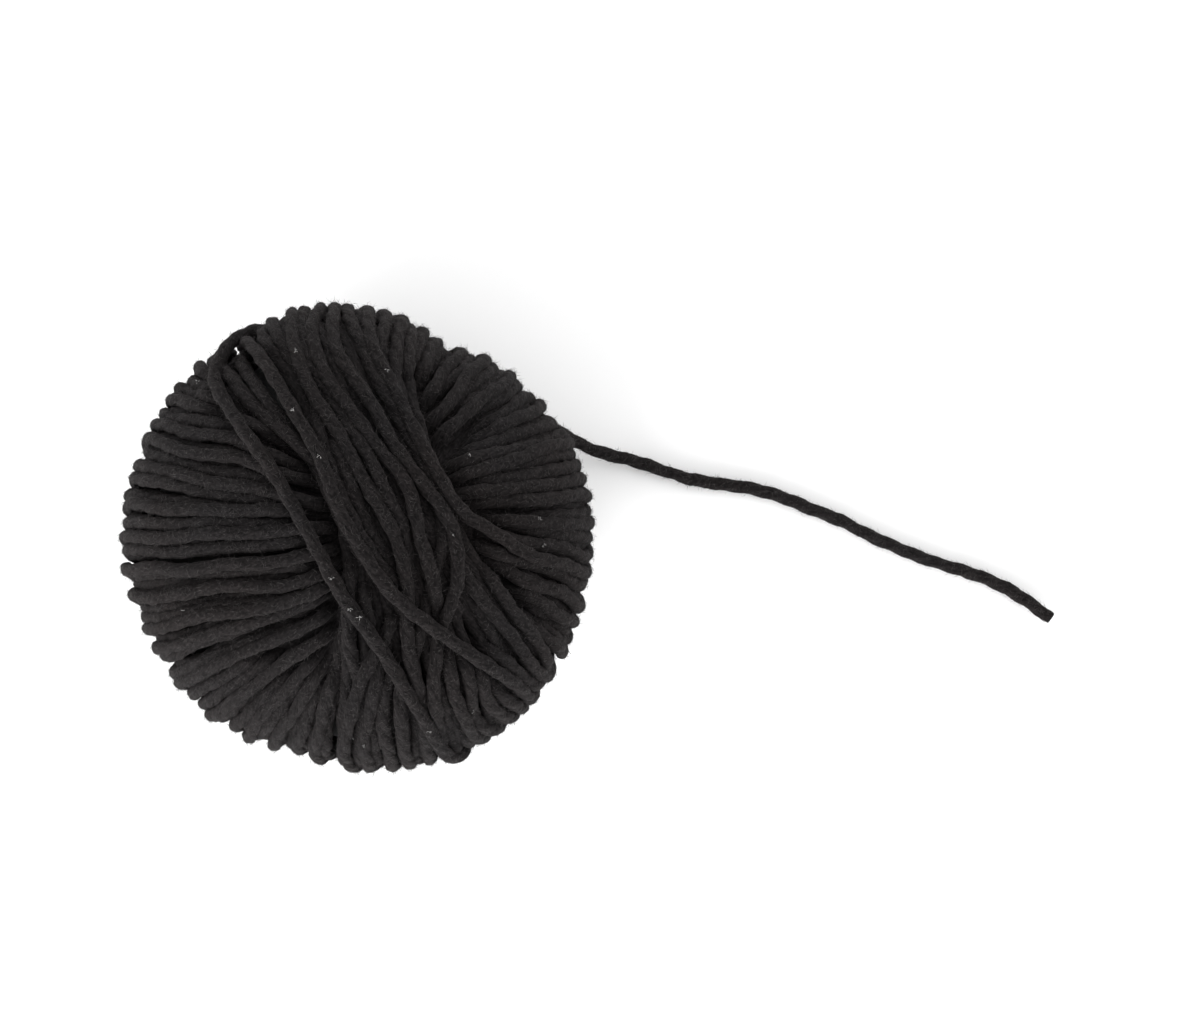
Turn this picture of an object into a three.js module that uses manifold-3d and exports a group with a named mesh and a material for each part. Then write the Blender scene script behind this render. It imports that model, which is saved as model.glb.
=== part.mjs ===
// A hand-wound ball of thick, soft black thread, with its loose end lying on the surface beside it.
// Millimetres, +Z up. The origin is the middle of the flat spot that the ball rests on.
import * as THREE from "three";
import { mergeVertices } from "three/addons/utils/BufferGeometryUtils.js";
import Module from "manifold-3d";

// Driving dimensions
const THREAD_DIAMETER = 2.1;
const BALL_RADIUS = 37.3; // mean of crests and grooves, at the widest height
const WAIST_HEIGHT = 27; // where the ball is widest, above the surface
const CROWN_RISE = 26.4; // from the waist to the top of the ribbed body
const BASE_DROP = 28.6; // from the waist to where the round underside would end
const REST_RADIUS = BALL_RADIUS * Math.sqrt(1 - (WAIST_HEIGHT / BASE_DROP) ** 2);

// The turns that run over the sides, as ribs
const RIBS = 84;
const RIB_RISE = 0.6; // of a crest above the mean surface, and of a groove below it
const RIB_UNEVENNESS = 0.3;
const RIB_FADE_START = 40; // degrees up the side where ribs begin to flatten
const RIB_FADE_END = 75;
const SMOOTH_BAND = { x: 8, y: 2, heading: -68, halfWidth: 12, edge: 4 }; // where later turns cover them
const UPPER_HUB = { x: 2.6, y: -3.4 }; // where the ribs of the upper side run to
const LOWER_HUB = { x: -2.0, y: 1.5 };
const UNDERSIDE_LEAN = 14; // degrees that a rib turns from the waist to the resting spot
const UPPER_ROWS = [90, 74, 60, 47, 34, 22, 10]; // degrees above the waist
const LOWER_ROWS = [-2, -13, -25, -38, -52];
const UNEVEN_STEP = 2.4; // radians from one column to the next, so that neighbours differ
const UNEVEN_DRIFT = 0.05; // radians for each degree up the side

// How far the outline is out of round: each row is a wave around the ball
const OUTLINE_WAVES = [
  { waves: 2, rise: 0.017, crest: -69 },
  { waves: 3, rise: 0.007, crest: -22 },
  { waves: 4, rise: 0.011, crest: 95 },
  { waves: 5, rise: 0.007, crest: 139 },
];

// The last turns, over the top. Bearings are degrees from +X, where a turn goes over the side.
// A turn that comes out from under others has no bearing to come from, and starts at its first via point.
// via holds points seen from above. layer counts the thicknesses that lie under a turn.
const TURNS = [
  { from: 87, via: [[9.2, 20.1], [16.3, 5.6], [25.3, -1.0]], to: -9, layer: 0.7 },
  { from: 91, via: [[6.8, 20.6], [13.6, 8.4], [20.5, -8.0]], to: -33, layer: 0.5 },
  { from: 95, via: [[3.1, 22.4], [15.0, 4.5], [15.8, -10.0]], to: -71, layer: 0.7 },
  { from: 98.5, via: [[2.0, 20.2], [10.1, 8.2], [12.5, -5.0]], to: -64, layer: 0.5 },
  { from: 102, via: [[-0.4, 18.9], [6.2, 8.0], [15.9, -15.3]], to: -57, layer: 0.7 },
  { from: 105.5, via: [[-2.2, 18.4], [3.4, 8.0], [9.5, -4.0]], to: -48, layer: 0.5 },
  { from: 108.5, via: [[-6.6, 25.9], [-2.3, 13.2], [2.2, 3.0]], to: -76, layer: 0.6 },
  { from: null, via: [[12.0, 4.5], [18.3, -5.0], [25.2, -14.9]], to: -37, layer: 0.5 },
  { from: null, via: [[13.5, -5.0], [19.0, -17.0]], to: -51, layer: 0.5 },
  { from: 117, via: [[-8.1, 21.7], [0.0, 4.9], [5.9, -6.2], [16.1, -13.9]], to: -43, layer: 1.5 },
];

// The topmost turn leaves the outline as a slack loop before it crosses the ball
const TOP_LOOP = [
  { x: -9.0, y: 33.6, z: 20 },
  { x: -13.3, y: 34.4, z: 27 },
  { x: -17.0, y: 34.0, z: 32 },
  { x: -19.8, y: 32.0, z: 35.5 },
  { x: -20.8, y: 29.4, z: 38 },
];
const TOP_TURN = { via: [[-15.0, 17.1], [-4.8, 0.9], [5.8, -15.9]], to: -62, layer: 1.25 };
const TURN_DIP = 42; // degrees below the waist where a turn sinks among the others
const TURN_SINK = 1.6; // depth of its ends among them
const TURN_SIDES = 6;
const TURN_STEPS = 17;
const TURN_SAMPLES = 48;
const SINKING_SAMPLES = 6; // over which an end sinks
const TURN_RADIUS = 0.56 * THREAD_DIAMETER; // a turn is pressed wider than the free thread
const LAYER_RISE = 1.0; // of one thread over another, as both give a little

// The loose end leaves the side under the overhang, comes down and lies in slack curves
const LOOSE_SIDES = 8;
const LOOSE_STEPS = 34;
const FLOOR_CLEARANCE = 0.03;
const LYING = THREAD_DIAMETER / 2 + FLOOR_CLEARANCE;
const LOOSE_ROUTE = [
  [21.3, 24.2, 12.0], [24.3, 22.7, 10.8], [27.2, 21.1, 9.4], [30.4, 19.2, 7.9], [33.6, 17.3, 6.0],
  [36.4, 15.8, 4.3], [39.2, 14.7, 2.9], [42.0, 14.0, 2.0], [45.2, 13.2, 1.4], [49.4, 11.8, LYING],
  [54.5, 10.2, LYING], [59.7, 9.3, LYING], [64.8, 8.6, LYING], [69.9, 7.2, LYING], [75.1, 5.1, LYING],
  [80.2, 3.1, LYING], [85.3, 0.5, LYING], [90.5, -1.8, LYING], [95.6, -3.8, LYING],
  [100.8, -5.4, LYING], [105.9, -7.2, LYING], [110.8, -9.8, 1.2], [115.9, -13.5, 1.8],
];

const THREAD_FINISH = { color: 0x282626, roughness: 0.95, metalness: 0 };
const SAME_POINT = 1e-4; // vertices nearer than this are one

const wasm = await Module();
wasm.setup();

const radians = THREE.MathUtils.degToRad;

// The ball's radius at its waist, in the direction of a bearing in radians
function waistRadius(bearing) {
  const swell = OUTLINE_WAVES.reduce(
    (sum, wave) => sum + wave.rise * Math.cos(wave.waves * bearing - radians(wave.crest)),
    0,
  );
  return BALL_RADIUS * (1 + swell);
}

// The point of the smooth ball above or below a point of the plan
function onBall(x, y, rise) {
  const share = Math.min(1, Math.hypot(x, y) / waistRadius(Math.atan2(y, x)));
  return new THREE.Vector3(x, y, WAIST_HEIGHT + rise * Math.sqrt(1 - share * share));
}

// The outward direction of the smooth ball at one of its points
function outward(point) {
  const up = point.z - WAIST_HEIGHT;
  const rise = up > 0 ? CROWN_RISE : BASE_DROP;
  return new THREE.Vector3(
    point.x / BALL_RADIUS ** 2,
    point.y / BALL_RADIUS ** 2,
    up / rise ** 2,
  ).normalize();
}

// The point of the smooth ball at a bearing and at an angle above the waist, in radians
function sidePoint(bearing, elevation, hub) {
  const reach = waistRadius(bearing) * Math.cos(elevation);
  const inward = 1 - Math.cos(elevation);
  return onBall(
    reach * Math.cos(bearing) + hub.x * inward,
    reach * Math.sin(bearing) + hub.y * inward,
    elevation > 0 ? CROWN_RISE : -BASE_DROP,
  );
}

// Moves any point straight out from the ball's middle until it lies on the smooth ball
function drape(point) {
  const fromMiddle = point.clone().setZ(point.z - WAIST_HEIGHT);
  const radius = waistRadius(Math.atan2(point.y, point.x));
  const rise = fromMiddle.z > 0 ? CROWN_RISE : BASE_DROP;
  const depth = Math.hypot(fromMiddle.x / radius, fromMiddle.y / radius, fromMiddle.z / rise);
  fromMiddle.divideScalar(depth);
  return fromMiddle.setZ(fromMiddle.z + WAIST_HEIGHT);
}

// A closed mesh as a solid
function solidOf(geometry) {
  const bare = geometry.clone();
  bare.deleteAttribute("normal");
  bare.deleteAttribute("uv");
  const merged = mergeVertices(bare, SAME_POINT);
  return new wasm.Manifold(
    new wasm.Mesh({
      numProp: 3,
      vertProperties: merged.attributes.position.array,
      triVerts: new Uint32Array(merged.index.array),
    }),
  );
}

// A solid as a mesh for the scene
function geometryOf(solid) {
  const made = solid.getMesh();
  const geometry = new THREE.BufferGeometry();
  geometry.setAttribute("position", new THREE.BufferAttribute(made.vertProperties, 3));
  geometry.setIndex(new THREE.BufferAttribute(made.triVerts, 1));
  geometry.computeVertexNormals();
  return geometry;
}

// A tube of round section along a curve
function tube(curve, radius, sides, steps) {
  const section = new THREE.Shape(
    Array.from({ length: sides }, (_, side) => {
      const turn = (2 * Math.PI * side) / sides;
      return new THREE.Vector2(radius * Math.cos(turn), radius * Math.sin(turn));
    }),
  );
  return new THREE.ExtrudeGeometry(section, { steps, extrudePath: curve, bevelEnabled: false });
}

// The ribbed body: one rib for each turn that crosses the waist, flat where it rests
function ribbedBody() {
  const columns = 2 * RIBS;
  const flatEdge = -THREE.MathUtils.radToDeg(Math.asin(WAIST_HEIGHT / BASE_DROP));
  const elevations = [...UPPER_ROWS, ...LOWER_ROWS, flatEdge, -90];
  const rows = elevations.length - 1;
  const geometry = new THREE.SphereGeometry(1, columns, rows);
  const position = geometry.attributes.position;
  for (let index = 0; index < position.count; index++) {
    const row = Math.floor(index / (columns + 1));
    const column = index % (columns + 1) % columns;
    const elevation = elevations[row];
    const resting = row >= rows - 1;
    const lean = elevation < 0 ? (UNDERSIDE_LEAN * elevation) / flatEdge : 0;
    const bearing = (-2 * Math.PI * column) / columns + radians(lean);
    const hub = elevation > 0 ? UPPER_HUB : LOWER_HUB;
    const point = resting
      ? restingPoint(bearing, row === rows)
      : sidePoint(bearing, radians(elevation), hub);
    if (!resting) {
      const height = ribHeight(column, elevation);
      point.addScaledVector(outward(point), elevation > 0 ? height * bareShare(point) : height);
    }
    position.setXYZ(index, point.x, point.y, point.z);
  }
  geometry.index.array.reverse();
  return geometry;
}

// A point of the flat spot: its middle, or its edge at a bearing
function restingPoint(bearing, middle) {
  const reach = middle ? 0 : REST_RADIUS;
  return new THREE.Vector3(reach * Math.cos(bearing), reach * Math.sin(bearing), 0);
}

// Even columns are crests and odd ones grooves, each a little different from the next
function ribHeight(column, elevation) {
  const fade = THREE.MathUtils.smoothstep(Math.abs(elevation), RIB_FADE_START, RIB_FADE_END);
  const drift = Math.cos(UNEVEN_DRIFT * elevation + column);
  const crest = RIB_RISE + RIB_UNEVENNESS * Math.sin(UNEVEN_STEP * column) * drift;
  return (column % 2 ? -RIB_RISE : crest) * (1 - fade);
}

// How bare the body is at a point: 0 under the band of later turns, 1 beside it
function bareShare(point) {
  const heading = radians(SMOOTH_BAND.heading);
  const ahead = { x: point.x - SMOOTH_BAND.x, y: point.y - SMOOTH_BAND.y };
  const aside = Math.abs(ahead.x * Math.sin(heading) - ahead.y * Math.cos(heading));
  return THREE.MathUtils.smoothstep(aside, SMOOTH_BAND.halfWidth - SMOOTH_BAND.edge, SMOOTH_BAND.halfWidth);
}

// The route of a turn: its points pulled onto the ball, raised by its layer and sunk at its ends
function laidPoints(points, layer, sinksAtStart) {
  const loose = new THREE.CatmullRomCurve3(points, false, "centripetal").getSpacedPoints(TURN_SAMPLES);
  return loose.map((point, index) => {
    const toStart = sinksAtStart ? index : TURN_SAMPLES;
    const toEnd = Math.min(toStart, TURN_SAMPLES - index);
    const sinking = 1 - THREE.MathUtils.smoothstep(toEnd, 0, SINKING_SAMPLES);
    const height = layer * LAYER_RISE - TURN_SINK * (1 + layer) * sinking;
    const surface = drape(point);
    return surface.addScaledVector(outward(surface), height);
  });
}

// Where a turn goes over the side at a bearing: first below the waist and then on it
function overSide(degrees) {
  const bearing = radians(degrees);
  return [sidePoint(bearing, -radians(TURN_DIP), LOWER_HUB), sidePoint(bearing, 0, UPPER_HUB)];
}

// A turn over the top of the ball
function turnSolid(row) {
  const points = [
    ...(row.from === null ? [] : overSide(row.from)),
    ...row.via.map(([x, y]) => onBall(x, y, CROWN_RISE)),
    ...overSide(row.to).reverse(),
  ];
  const curve = new THREE.CatmullRomCurve3(laidPoints(points, row.layer, true));
  return solidOf(tube(curve, TURN_RADIUS, TURN_SIDES, TURN_STEPS));
}

// The topmost turn, with the slack loop that it starts in
function topTurnSolid() {
  const points = [
    ...TOP_TURN.via.map(([x, y]) => onBall(x, y, CROWN_RISE)),
    ...overSide(TOP_TURN.to).reverse(),
  ];
  const loop = TOP_LOOP.map(({ x, y, z }) => new THREE.Vector3(x, y, z));
  const curve = new THREE.CatmullRomCurve3([...loop, ...laidPoints(points, TOP_TURN.layer, false)]);
  return solidOf(tube(curve, TURN_RADIUS, TURN_SIDES, TURN_STEPS * 2));
}

// The wound ball: one solid of its ribbed body and the turns that lie over it, with no sealed gaps
function ballSolid() {
  const turns = [...TURNS.map(turnSolid), topTurnSolid()];
  const joined = turns.reduce((ball, turn) => ball.add(turn), solidOf(ribbedBody()));
  const shells = joined.decompose();
  return shells.reduce((largest, shell) => (shell.volume() > largest.volume() ? shell : largest));
}

// The loose end
function looseEndSolid() {
  const curve = new THREE.CatmullRomCurve3(LOOSE_ROUTE.map((point) => new THREE.Vector3(...point)));
  return solidOf(tube(curve, THREAD_DIAMETER / 2, LOOSE_SIDES, LOOSE_STEPS));
}

// A named mesh of a solid, in the thread's finish
function threadMesh(name, solid) {
  const mesh = new THREE.Mesh(geometryOf(solid), new THREE.MeshStandardMaterial(THREAD_FINISH));
  mesh.name = name;
  return mesh;
}

const group = new THREE.Group();
group.add(threadMesh("ball", ballSolid()));
group.add(threadMesh("loose_end", looseEndSolid()));

export default group;
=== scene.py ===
"""The looks of a hand-wound ball of soft black thread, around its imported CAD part.

Lengths in the tables are millimetres in the part's frame. MM turns them into metres.
"""

import math
from collections import namedtuple

import bpy
import numpy as np
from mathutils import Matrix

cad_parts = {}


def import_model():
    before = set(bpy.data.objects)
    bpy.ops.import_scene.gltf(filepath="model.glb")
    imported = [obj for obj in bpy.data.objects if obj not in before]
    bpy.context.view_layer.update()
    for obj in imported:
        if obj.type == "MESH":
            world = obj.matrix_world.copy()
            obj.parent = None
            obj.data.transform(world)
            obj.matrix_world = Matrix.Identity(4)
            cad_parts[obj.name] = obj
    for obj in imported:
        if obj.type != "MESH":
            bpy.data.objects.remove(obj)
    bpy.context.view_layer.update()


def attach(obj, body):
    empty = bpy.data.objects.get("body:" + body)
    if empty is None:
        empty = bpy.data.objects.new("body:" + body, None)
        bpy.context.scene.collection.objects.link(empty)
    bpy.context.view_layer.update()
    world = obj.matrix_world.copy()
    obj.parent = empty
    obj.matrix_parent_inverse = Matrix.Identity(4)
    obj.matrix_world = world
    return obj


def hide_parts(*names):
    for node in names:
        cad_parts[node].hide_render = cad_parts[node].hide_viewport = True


MM = 0.001
SEED = 11
BODY = "root"
BAKE_MAP = "OFBake"

# The photograph, taken from straight above, and the level at which places are read off it
PHOTO_WIDTH_PX = 1200
CAMERA_PLACE = (39.1, 4.7, 450.0)
CAMERA_FOCAL_PX = 2621.0
CAMERA_REACH = (10.0, 10000.0)
SENSOR_WIDTH = 36.0
SEEN_LEVEL = 52.0
SIGHT_ROUNDS = 8

# The thread: its plies, and how its thickness, its surface and its course vary along it
THREAD_DIAMETER = 2.1
PLIES = 3
PLY_PITCH = 13.0
PLY_DEPTH = 0.09
SWELL = 0.04
SWELL_LENGTH = 5.0
ROUGHNESS = 0.03
WOBBLE = 0.2
WOBBLE_LENGTH = 13.0

# The smooth ball that the turns are wound on, which is flat at the resting level. A hub is the place in
# plan where its bearings meet, and the edge share is how near to the outline a place in plan may be.
BALL_RADIUS = 37.3
WAIST_HEIGHT = 27.0
CROWN_RISE = 26.4
BASE_DROP = 28.6
UPPER_HUB = (2.6, -3.4)
LOWER_HUB = (-2.0, 1.5)
EDGE_SHARE = 0.995
RESTING_LEVEL = 0.85
RESTING_BLEND = 1.5
LOWEST = 0.02

# Its outline at the waist: slow waves, and hollows at some bearings in degrees
Wave = namedtuple("Wave", "waves rise crest")
OUTLINE_WAVES = (
    Wave(2, 0.017, -69),
    Wave(3, 0.007, -22),
    Wave(4, 0.011, 95),
    Wave(5, 0.007, 139),
)
Hollow = namedtuple("Hollow", "bearing depth half_width")
HOLLOWS = (
    Hollow(65, 1.2, 8),
    Hollow(122.3, 2.2, 3.6),
    Hollow(205, 0.7, 7),
    Hollow(250, 0.7, 12),
)

# A turn's section, its height over the smooth ball, and how far it sinks where another one crosses it
TURN_WIDTH = 2.12
TURN_THICKNESS = 2.0
CROSSING_DROP = 1.2
CONTACT_WIDTH = 1.8
BODY_HEIGHT = -0.25
DEEPEST = -3.6
DEEP_SQUASH = 0.5
PRESSED_REACH = 1.3

# The last turns, outermost first. Bearings are degrees from +X, where a turn goes over the side, and via
# holds places in plan as the camera sees them. Rise is how far a turn stands up over the top. It comes
# in between two heights above the waist.
Turn = namedtuple("Turn", "start end rise via")
RAISED_ABOVE_WAIST = (2.0, 18.0)
LATE_TURNS = (
    Turn(116.8, -42, 1.2, (
        (-16.0, 31.5), (-10.7, 26.0), (-5.5, 16.7), (-0.6, 5.6), (6.0, -6.0), (15.0, -13.6), (24.3, -19.8),
    )),
    Turn(88, -8, 0.9, (
        (4.9, 29.0), (10.9, 16.7), (15.1, 9.1), (19.3, 3.0), (30.3, -2.3),
    )),
    Turn(96, -67, 0.75, (
        (-0.8, 29.3), (6.3, 17.8), (11.5, 9.7), (16.5, 2.8), (17.1, -4.3), (14.7, -15.0), (13.6, -23.0),
    )),
    Turn(99.4, -57.5, 0.6, (
        (-3.8, 28.3), (2.8, 17.9), (9.3, 9.1), (12.5, -2.0), (15.8, -15.4), (17.0, -24.0),
    )),
    Turn(106.6, -71.9, 0.65, (
        (-6.1, 26.4), (-1.3, 17.8), (3.2, 9.4), (8.0, 0.3), (9.5, -9.0), (10.8, -18.0),
    )),
    Turn(92.9, -76.8, 0.6, (
        (2.1, 31.3), (8.3, 19.3), (13.3, 9.4), (14.9, 3.6), (14.0, -5.0), (11.6, -14.5), (9.0, -25.0),
    )),
    Turn(103.2, -53, 0.55, (
        (-5.3, 27.2), (0.7, 17.9), (5.6, 9.1), (8.9, 3.3), (10.5, -5.7), (18.1, -17.4), (19.5, -25.5),
    )),
    Turn(110.6, -48.5, 0.6, (
        (-10.0, 31.1), (-4.4, 22.4), (-2.4, 13.2), (2.5, 0.8), (10.5, -9.9), (19.6, -18.0), (22.5, -24.4),
    )),
    Turn(109, -64.5, 0.5, (
        (-7.5, 27.0), (-3.3, 19.5), (-0.9, 13.4), (3.3, 3.6), (7.2, -4.2), (11.6, -12.5), (15.0, -23.5),
    )),
    Turn(125.5, -35.6, 0.4, (
        (-18.2, 26.5), (-4.0, 13.0), (12.0, 3.0), (18.7, -5.2), (24.9, -13.5), (29.8, -20.3),
    )),
    Turn(118.5, -38.5, 0.45, (
        (-15.6, 28.5), (-13.2, 23.8), (-9.0, 18.6), (-3.5, 10.0), (4.0, -3.0), (13.0, -11.5), (24.0, -18.0),
    )),
    Turn(79, -91, 0.2, (
        (8.0, 24.0), (10.0, 5.0), (7.5, -12.0), (3.1, -21.2), (0.4, -29.6),
    )),
    Turn(83, -86, 0.1, (
        (6.0, 27.0), (9.0, 5.0), (8.0, -12.0), (4.8, -23.0), (3.1, -31.0),
    )),
    Turn(81, -80.5, 0.1, (
        (8.0, 25.0), (11.0, 5.0), (8.0, -15.0), (6.3, -24.0), (6.8, -31.0),
    )),
    Turn(77, -88.5, 0.1, (
        (9.0, 23.0), (3.0, 3.0), (0.5, -13.9), (2.1, -21.2),
    )),
    Turn(113.7, -45.5, 0.35, (
        (-11.4, 30.0), (-7.3, 23.7), (-3.6, 15.5), (0.3, 6.0), (9.0, -9.0), (21.0, -20.0),
    )),
    Turn(90.5, -60, 0.0, (
        (4.0, 27.0), (9.0, 14.0), (12.5, 0.0), (14.5, -12.0), (17.0, -27.0),
    )),
)

# The topmost turn: it slants up the far side from where the loose end leaves, stands out in a slack
# loop and crosses the top. Its last stretch sinks into the ball.
TOP_TURN_SIDE = (
    (21.3, 24.2, 12.0), (16.4, 28.4, 12.6), (8.8, 32.6, 14.0), (0.0, 34.9, 16.4),
)
TOP_TURN_LOOP = (
    (-9.0, 33.6, 20.0), (-13.2, 33.9, 27.0), (-16.7, 33.3, 32.0), (-19.4, 31.2, 35.5), (-20.5, 28.8, 38.0),
)
TOP_TURN_VIA = (
    (-19.0, 24.5), (-15.0, 17.1), (-10.9, 11.4), (-4.8, 0.9),
    (0.3, -8.4), (5.8, -16.0), (11.5, -25.3), (16.2, -32.0),
)
TOP_TURN_END = -62.7
TOP_TURN_RISE = 1.1
SUNK_LENGTH = 30.0
SUNK_DEPTH = 5.0

# The turns that fan out over the sides. A knot says where a turn whose end has that bearing meets the
# later turns on that side.
Knot = namedtuple("Knot", "bearing x y")
FAN_TURNS = 38
FAN_RISE = (-1.0, 0.15)
LEFT_FAN = (
    Knot(127.5, -19.9, 26.1),
    Knot(138, -18.8, 23.1),
    Knot(149, -15.9, 16.3),
    Knot(159, -10.9, 8.6),
    Knot(179, -6.6, 1.8),
    Knot(196, -2.7, -5.4),
    Knot(210, -2.1, -8.0),
    Knot(225, 0.3, -11.5),
    Knot(247, 1.3, -12.1),
    Knot(264, 0.1, -15.6),
)
RIGHT_FAN = (
    Knot(-40, 19.5, -9.5),
    Knot(-31.5, 20.8, -5.6),
    Knot(-20, 20.5, -2.8),
    Knot(-8, 19.6, 0.6),
    Knot(2, 19.3, 2.7),
    Knot(10, 16.3, 4.9),
    Knot(18, 15.7, 7.9),
    Knot(30, 15.2, 10.9),
    Knot(42, 13.3, 13.2),
    Knot(55, 11.4, 16.3),
    Knot(75, 9.3, 21.7),
)
FAN_MIDWAY = 0.6
BEARING_JITTER = 0.7
KNOT_JITTER = 0.5

# Turns between and under the last ones: evenly spread bearings, and middles evenly on a line
BAND_TURNS = 10
BAND_FILLERS = 13
BAND_STARTS = (113, 87)
BAND_ENDS = (-93, -34)
BAND_MIDDLES = ((0.5, 4.0), (16.0, 4.0))
BAND_JITTER = 1.0
BAND_RISE = 0.3

# Earlier turns of the fans, which fill the gaps
FILLERS = 42
FILLER_RISE = -1.1
FILLER_SPREAD = 0.2

# Deep turns behind the slack loop, and one where the left fan ends: the bearings of their ends
DEEP_FILLERS = ((118.6, -39.5), (121.6, -38.0), (124.4, -36.0), (268.5, 62.0))
DEEP_FILLER_RISE = -1.9

# The underside of a turn, in degrees: where it bends over the lower edge and how far it leans there,
# and how far it misses the middle
UNDERSIDE_ELEVATION = -43.0
UNDERSIDE_LEAN = 8.4
HUB_JITTER = 3.5

# Sampling, which is coarser low down
SPAN_SAMPLES = 24
FEWEST_POINTS = 8
TURN_STEP = 0.66
TURN_SIDES = 14
FILLER_STEP = 1.2
FILLER_SIDES = 8
TURNS_A_PIECE = 14
COARSE_BELOW = 17.0

# The form inside the turns, coloured darker than the thread as painted shade in the deep gaps
CORE_DEPTH = 4.7
CORE_COLUMNS = 96
CORE_ROWS = 48

# The loose end, from where it leaves the ball to its cut end: the route of the CAD part
SURFACE_GAP = 0.03
LYING = THREAD_DIAMETER / 2 + SURFACE_GAP
LOOSE_ROUTE = (
    (21.3, 24.2, 12.0), (24.3, 22.7, 10.8), (27.2, 21.1, 9.4), (30.4, 19.2, 7.9), (33.6, 17.3, 6.0),
    (36.4, 15.8, 4.3), (39.2, 14.7, 2.9), (42.0, 14.0, 2.0), (45.2, 13.2, 1.4), (49.4, 11.8, LYING),
    (54.5, 10.2, LYING), (59.7, 9.3, LYING), (64.8, 8.6, LYING), (69.9, 7.2, LYING), (75.1, 5.1, LYING),
    (80.2, 3.1, LYING), (85.3, 0.5, LYING), (90.5, -1.8, LYING), (95.6, -3.8, LYING),
    (100.8, -5.4, LYING), (105.9, -7.2, LYING), (110.8, -9.8, 1.2), (115.9, -13.5, 1.8),
)
LOOSE_STEP = 0.4
LOOSE_SIDES = 18
CUT_NARROWING = 0.86
CUT_LENGTH = 0.4

# Shares of the bake map: the margin beside a turn's strip, the strip of the loose end, and its two
# flat ends
STRIP_MARGIN = 0.03
LOOSE_STRIP_START = 0.02
LOOSE_STRIP_WIDTH = 0.7
CAP_RADIUS = 0.1
CAP_PLACES = ((0.15, 0.87), (0.45, 0.87))
FIBRE_CORNERS = ((0.1, 0.1), (0.9, 0.1), (0.1, 0.9))

# The streaks in the thread, in the map of how it lies: their length in millimetres, how many there are
# around it, and their lean in turns a millimetre. A strand starts up to so many turns into the map, so
# that no two have the same streaks.
LAY_MAP = "Lay"
STREAK_LENGTH = 1.1
STREAKS_AROUND = 24.0
STREAK_LEAN = 0.03
LAY_STARTS = 500

# The fuzz, coloured lighter than the thread as a painted sheen: short fibres that lie on the thread, longer
# stray ones, and both on the loose end. A rise is the outward part of a fibre's direction.
LYING_FIBRES = 46000
STRAY_FIBRES = 12000
LOOSE_LYING = 2600
LOOSE_STRAY = 500
LYING_LENGTH = (0.5, 1.5)
STRAY_LENGTH = (0.6, 1.7)
LYING_RISE = 0.09
STRAY_RISE = 0.24
RISE_SPREAD = (0.2, 1.8)
FIBRE_BEND = 0.45
FIBRE_RADIUS = 0.026
ROOT_DEPTH = 0.04
Fibres = namedtuple("Fibres", "roots directions lengths out")
SPIKE_FACES = ((0, 2, 1), (0, 1, 3), (1, 2, 3), (2, 0, 3))
SPINDLE_FACES = ((0, 2, 1), (0, 3, 2), (0, 1, 3), (4, 1, 2), (4, 2, 3), (4, 3, 1))

# Where the ball's fuzz grows: how far under the smooth ball, how squarely its root faces out, the
# heights over which it thickens, the lowest root, and how many are tried for each fibre
FUZZ_DEPTH = -1.9
FUZZ_FACING = 0.3
FUZZ_THICKENS = (-8, 22)
FUZZ_LOWEST = 0.8
FUZZ_TRIES = 8

# Pale specks of lint caught on the ball, by their place in plan. Each one lies on the highest thread
# within its reach.
LINT_SPECKS = (
    (19.2, 13.9), (30.1, 4.1), (30.7, 0.2), (17.0, 0.6), (19.8, -27.3), (13.0, -30.1),
    (2.7, -32.3), (1.2, -10.9), (3.0, -11.8), (-7.7, 29.9), (-24.8, 25.7), (-8.3, 20.3),
    (-3.8, 13.3), (-25.7, -10.3), (6.2, 27.1), (-1.7, -6.0),
)
LINT_FIBRES = 7
LINT_LENGTH = (0.25, 0.6)
LINT_RADIUS = 0.06
LINT_REACH = 0.8
LINT_SPREAD = 0.08
LINT_LIFT = 0.6

# The thread's finish, and its colours where it is cool and where it is warm, each from dark to light.
# The scales of the noises are per metre, and the distance of the bump is in metres.
THREAD_FINISH = {
    "Roughness": 0.9,
    "Specular IOR Level": 0.06,
    "Sheen Weight": 0.02,
    "Sheen Roughness": 0.6,
    "Sheen Tint": (0.8, 0.72, 0.7, 1),
}
COOL_BLACK = ((0.0030, 0.0029, 0.0031), (0.0150, 0.0145, 0.0155))
WARM_BLACK = ((0.0037, 0.0030, 0.0029), (0.0193, 0.0154, 0.0148))
STREAK_SPAN = (0.14, 0.42)
STREAK_DETAIL = 3
PATCH_SCALE = 55
PATCH_DETAIL = 1
PLY_BUMP = 0.45
PLY_BUMP_POWER = 0.5
BUMP_STRENGTH = 0.8
BUMP_DISTANCE = 0.0003

# The finely mottled materials, each between two colours
Mottled = namedtuple("Mottled", "name dark light roughness")
# The fuzz is finely mottled and lighter than the thread: a painted sheen of fibres catching the light
FUZZ_PAINTED_SHEEN = Mottled("fuzz_painted_sheen", (0.018, 0.0158, 0.0155), (0.042, 0.0366, 0.0355), 0.8)
# The core is darker than the thread: painted shade where it shows between the turns
CORE_PAINTED_SHADE = Mottled("core_painted_shade", (0.003, 0.0028, 0.0028), (0.009, 0.0084, 0.0084), 0.95)
LINT = Mottled("pale_lint", (0.2, 0.2, 0.2), (0.42, 0.41, 0.4), 0.9)
MOTTLE_SCALE = 1900
MOTTLE_DETAIL = 3
MOTTLE_SPAN = (0.3, 0.7)

# The floor, in metres
FLOOR_WHITE = (0.96, 0.96, 0.96)
FLOOR_ROUGHNESS = 0.9
FLOOR_HALF = 4.0

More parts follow.
